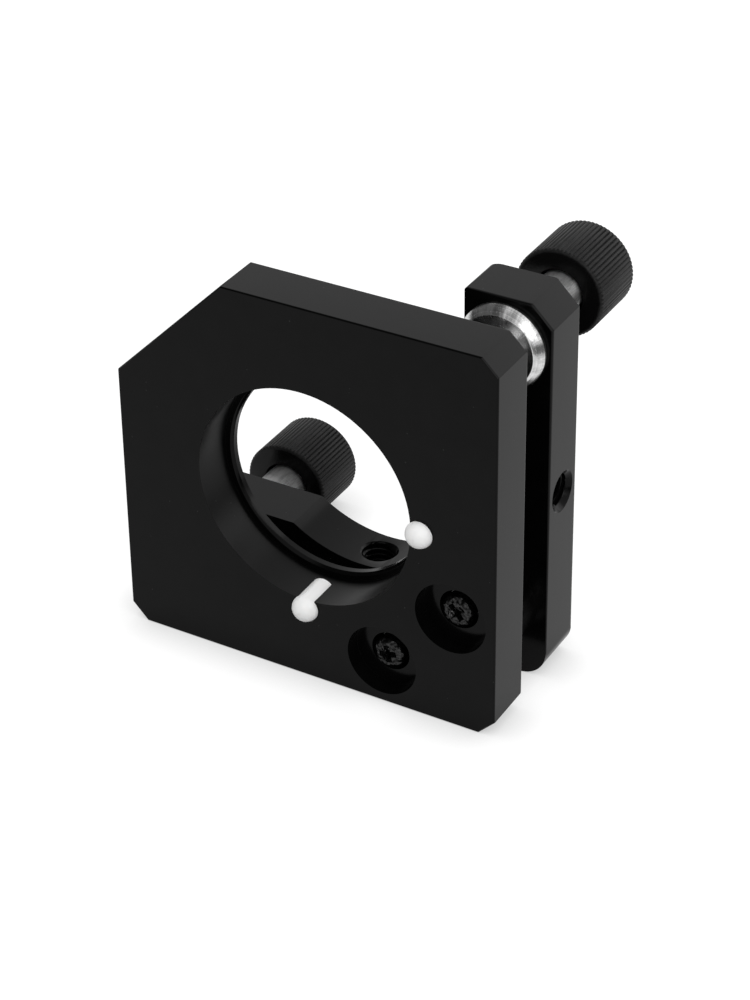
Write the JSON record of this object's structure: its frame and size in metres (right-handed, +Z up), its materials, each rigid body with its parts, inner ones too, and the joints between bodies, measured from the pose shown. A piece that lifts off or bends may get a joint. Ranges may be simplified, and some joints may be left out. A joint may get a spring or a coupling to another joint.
{
  "type": "kinematic mirror mount",
  "caption": "Kinematic mount for a one-inch mirror: a square front plate tilts on a ball against an L-shaped back plate, moved by fine screws with knurled knobs and held by sprung screws.",
  "frame": {"origin": "on the optical axis, at the front plate's front face", "axes": "+X to the right seen from the front, +Y along the optical axis from the front plate to the knobs, +Z up"},
  "size_m": [0.046, 0.0336, 0.046],
  "materials": {
    "black_anodised": "black anodised, satin",
    "black_knurled": "black anodised, straight knurl",
    "steel": "turned stainless steel",
    "polished_steel": "hardened and polished",
    "black_oxide": "black oxide",
    "nylon": "white nylon"
  },
  "bodies": {
    "base": {"back_plate": "black_anodised", "upper_bushing": "steel", "lower_bushing": "steel", "pivot_stud": "steel", "upper_tension_screw": "black_oxide", "lower_tension_screw": "black_oxide", "upper_spring": "steel", "lower_spring": "steel"},
    "pivot": {"pivot_ball": "polished_steel"},
    "stage": {"front_plate": "black_anodised", "cone_seat": "polished_steel", "vee_seat": "polished_steel", "flat_seat": "polished_steel", "right_pin": "nylon", "bottom_pin": "nylon"},
    "upper_push": {"upper_ball": "polished_steel"},
    "upper_drive": {"upper_screw": "steel", "upper_knob": "black_knurled"},
    "lower_push": {"lower_ball": "polished_steel"},
    "lower_drive": {"lower_screw": "steel", "lower_knob": "black_knurled"},
    "clamp_push": {"set_screw_tip": "nylon"},
    "clamp_drive": {"set_screw": "black_oxide"}
  },
  "joints": [
    {"name": "tilt_z", "type": "hinge", "parent": "base", "child": "pivot", "pos_m": [0.0175, 0.007, -0.0175], "axis": [0, 0, 1], "range_deg": [-2.5, 2.5], "deforming": ["lower_spring"]},
    {"name": "tilt_x", "type": "hinge", "parent": "pivot", "child": "stage", "pos_m": [0.0175, 0.007, -0.0175], "axis": [1, 0, 0], "range_deg": [-2.5, 2.5], "deforming": ["upper_spring"]},
    {"name": "upper_travel", "type": "slide", "parent": "base", "child": "upper_push", "axis": [0, 1, 0], "range_m": [-0.00153, 0.00153]},
    {"name": "upper_turn", "type": "hinge", "parent": "upper_push", "child": "upper_drive", "pos_m": [0.0175, 0.007, 0.0175], "axis": [0, 1, 0], "range_deg": [-2200, 2200]},
    {"name": "lower_travel", "type": "slide", "parent": "base", "child": "lower_push", "axis": [0, 1, 0], "range_m": [-0.00153, 0.00153]},
    {"name": "lower_turn", "type": "hinge", "parent": "lower_push", "child": "lower_drive", "pos_m": [-0.0175, 0.007, -0.0175], "axis": [0, 1, 0], "range_deg": [-2200, 2200]},
    {"name": "clamp_travel", "type": "slide", "parent": "stage", "child": "clamp_push", "axis": [0.7071, 0, -0.7071], "range_m": [0, 0.0008]},
    {"name": "clamp_turn", "type": "hinge", "parent": "clamp_push", "child": "clamp_drive", "pos_m": [-0.012, 0.00265, 0.012], "axis": [0.7071, 0, -0.7071], "range_deg": [0, 577]}
  ],
  "couplings": [
    {"joint": "upper_travel", "follows": "tilt_x", "m_per_rad": -0.035},
    {"joint": "upper_turn", "follows": "tilt_x", "ratio": -879.65},
    {"joint": "lower_travel", "follows": "tilt_z", "m_per_rad": -0.035},
    {"joint": "lower_turn", "follows": "tilt_z", "ratio": -879.65},
    {"joint": "clamp_turn", "follows": "clamp_travel", "rad_per_m": 12566}
  ]
}
